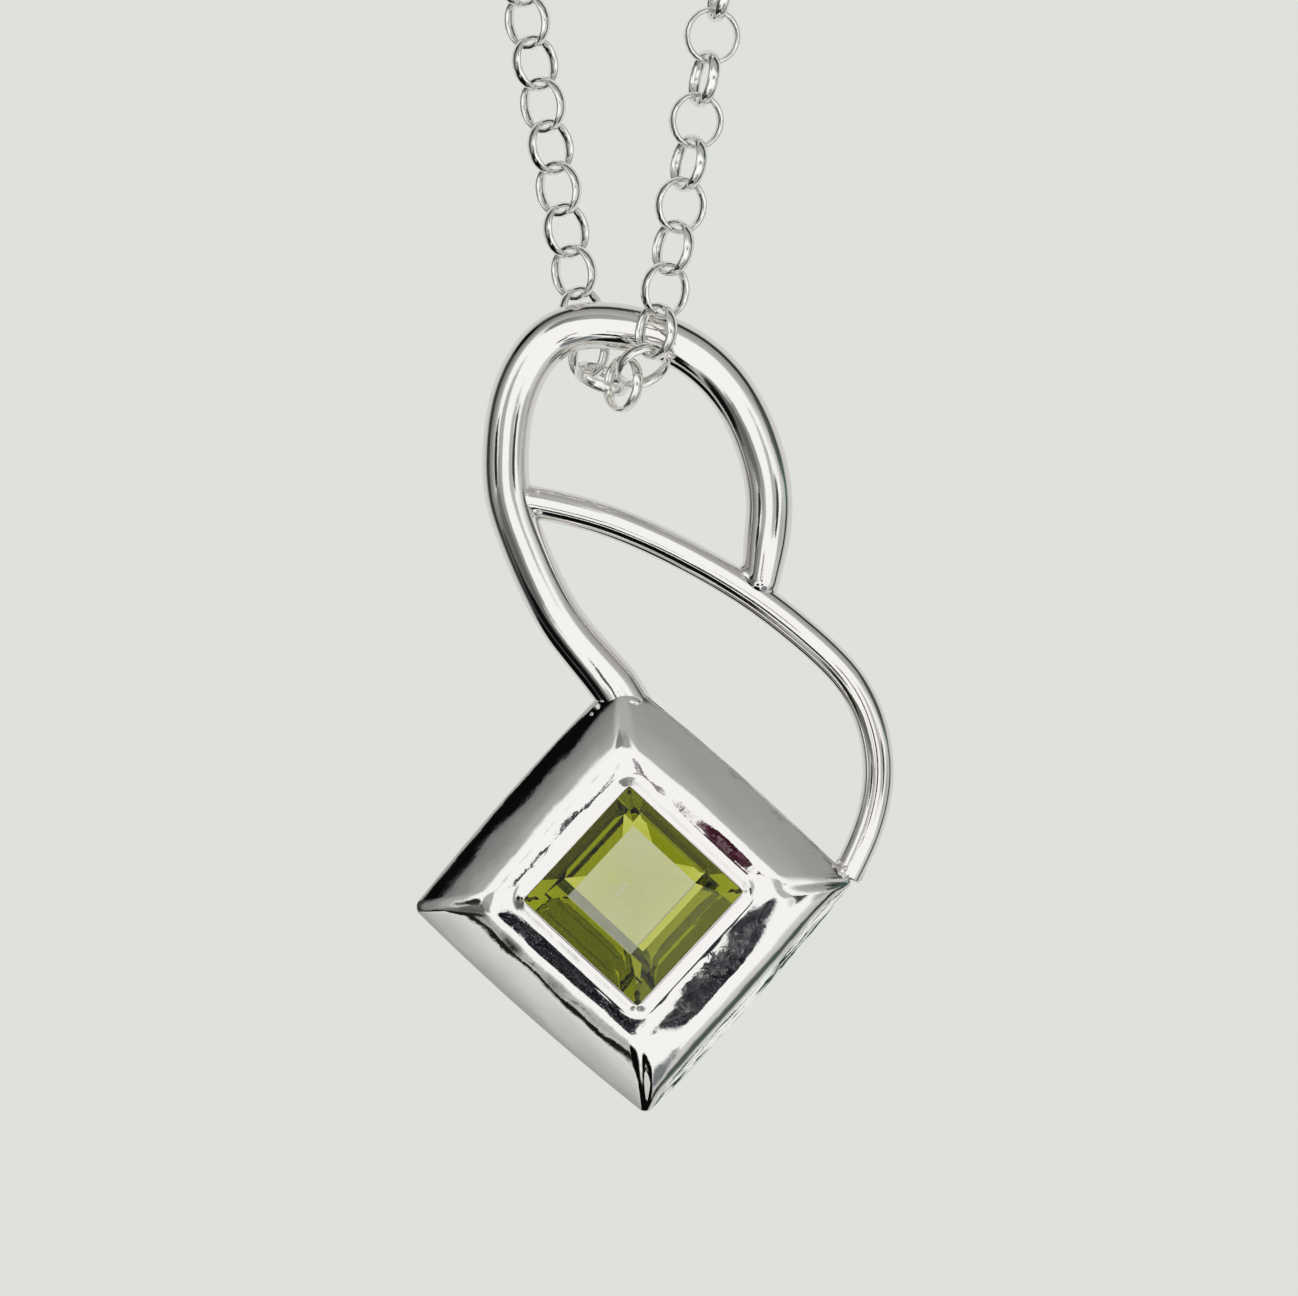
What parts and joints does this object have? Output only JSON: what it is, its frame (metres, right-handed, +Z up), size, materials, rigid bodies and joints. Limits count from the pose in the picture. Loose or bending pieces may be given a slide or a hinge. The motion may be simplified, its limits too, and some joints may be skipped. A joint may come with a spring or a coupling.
{
  "type": "quartz pendant on a chain",
  "caption": "Polished silver pendant with a square step-cut green quartz in a domed diamond setting, hung from a round wire hoop on a closed rolo chain.",
  "frame": {"origin": "top of the chain's hanging loop, where a neck, a peg or a hook carries it", "axes": "+X to the right as the pendant is looked at, +Y away from the viewer, behind the pendant, +Z up; the pendant hangs down along -Z with the stone facing -Y"},
  "size_m": [0.0596, 0.0063, 0.2112],
  "materials": {
    "silver": "polished",
    "chain_silver": "polished",
    "quartz": "polished"
  },
  "bodies": {
    "chain_loop": {"chain": "chain_silver", "clasp": "silver"},
    "pendant": {"pendant_frame": "silver", "stone": "quartz"}
  },
  "joints": [
    {"name": "pendant_swing", "type": "hinge", "parent": "chain_loop", "child": "pendant", "pos_m": [0, 0, -0.17809], "axis": [0.99, 0, -0.141], "range_deg": [-30, 30]}
  ]
}
